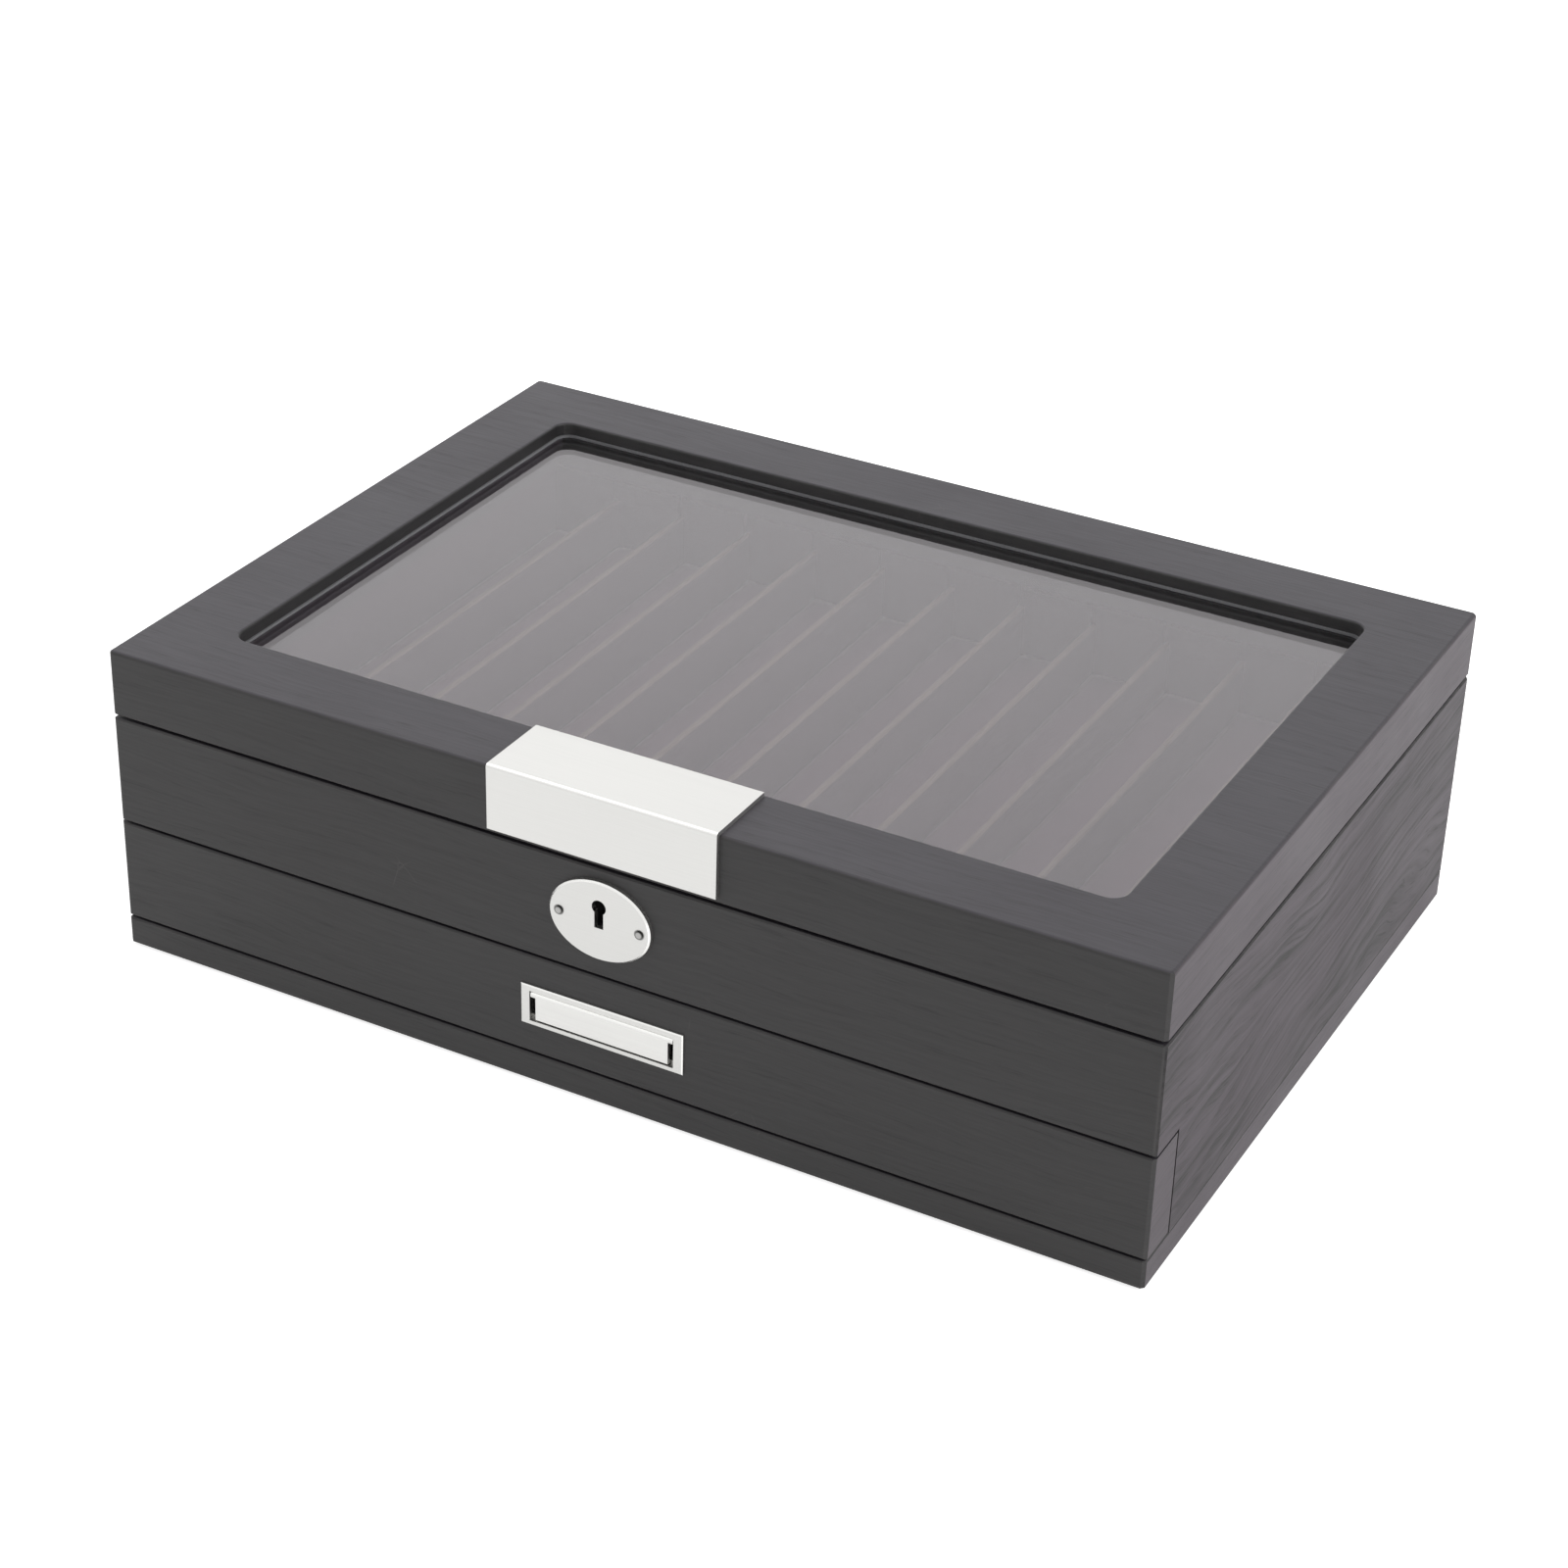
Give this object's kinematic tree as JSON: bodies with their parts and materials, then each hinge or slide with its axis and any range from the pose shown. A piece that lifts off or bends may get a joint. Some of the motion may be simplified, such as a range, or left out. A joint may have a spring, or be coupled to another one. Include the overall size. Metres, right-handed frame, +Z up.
{
  "type": "pen collector chest",
  "caption": "Glass-topped wooden pen chest: a hinged lid over a slotted tray, a slotted drawer below with a flush flap pull, and a keyed lock.",
  "frame": {"origin": "centre of the underside, on the resting plane", "axes": "+X along the front to the right, +Y from the front to the hinged back, +Z up"},
  "size_m": [0.34, 0.2473, 0.1034],
  "materials": {
    "wood_case": "open-pore satin, stained near black",
    "wood_tray": "dark stain, tan divider tops",
    "wood_inner": "clear matt",
    "lining": "brushed",
    "felt": "felt",
    "glass": "clear",
    "seal": "translucent grey",
    "bumper": "soft",
    "bumper_plastic": "matt",
    "satin_metal": "satin nickel",
    "steel": "plain steel"
  },
  "bodies": {
    "case": {"base_board": "wood_case", "base_felt": "felt", "side_panel_left": "wood_case", "side_panel_right": "wood_case", "front_panel": "wood_case", "back_panel": "wood_case", "deck_board": "wood_tray", "lid_bumpers": "bumper", "tray_wall_front": "wood_tray", "tray_wall_back": "wood_tray", "tray_wall_left": "wood_tray", "tray_wall_right": "wood_tray", "tray_floor": "wood_tray", "tray_dividers": "wood_tray", "tray_pads": "lining", "drawer_runner_left": "wood_inner", "drawer_runner_right": "wood_inner", "drawer_stop_cleat": "wood_inner", "escutcheon": "satin_metal", "escutcheon_pins": "satin_metal", "lock_case": "steel", "lock_cover": "steel", "lock_spring": "steel", "lock_screws": "steel", "hinge_left_case_leaf": "steel", "hinge_left_pin": "steel", "hinge_right_case_leaf": "steel", "hinge_right_pin": "steel", "hinge_case_screws": "steel"},
    "lid": {"lid_frame": "wood_case", "glass_pane": "glass", "glass_seal": "seal", "glazing_bead_front": "wood_case", "glazing_bead_back": "wood_case", "glazing_bead_left": "wood_case", "glazing_bead_right": "wood_case", "lid_plate": "satin_metal", "strike_plate": "steel", "strike_screws": "steel", "hinge_left_lid_leaf": "steel", "hinge_right_lid_leaf": "steel", "hinge_lid_screws": "steel"},
    "drawer": {"drawer_front": "wood_case", "drawer_side_left": "wood_inner", "drawer_side_right": "wood_inner", "drawer_back": "wood_inner", "drawer_bottom": "wood_inner", "drawer_dividers": "wood_tray", "drawer_pads": "lining", "drawer_stop_button": "bumper_plastic", "drawer_stop_screw": "steel", "pull_plate": "satin_metal", "pull_screws": "steel", "pull_pin": "steel"},
    "flap": {"pull_flap": "satin_metal"},
    "bolt": {"lock_bolt": "steel"}
  },
  "joints": [
    {"name": "lid_hinge", "type": "hinge", "parent": "case", "child": "lid", "pos_m": [0, 0.1215, 0.0801], "axis": [-1, 0, 0], "range_deg": [0, 95]},
    {"name": "drawer_slide", "type": "slide", "parent": "case", "child": "drawer", "axis": [0, -1, 0], "range_m": [0, 0.15]},
    {"name": "pull_flap_hinge", "type": "hinge", "parent": "drawer", "child": "flap", "pos_m": [0, -0.11845, 0.03055], "axis": [-1, 0, 0], "range_deg": [0, 90]},
    {"name": "lock_bolt_slide", "type": "slide", "parent": "case", "child": "bolt", "axis": [1, 0, 0], "range_m": [0, 0.005]}
  ]
}
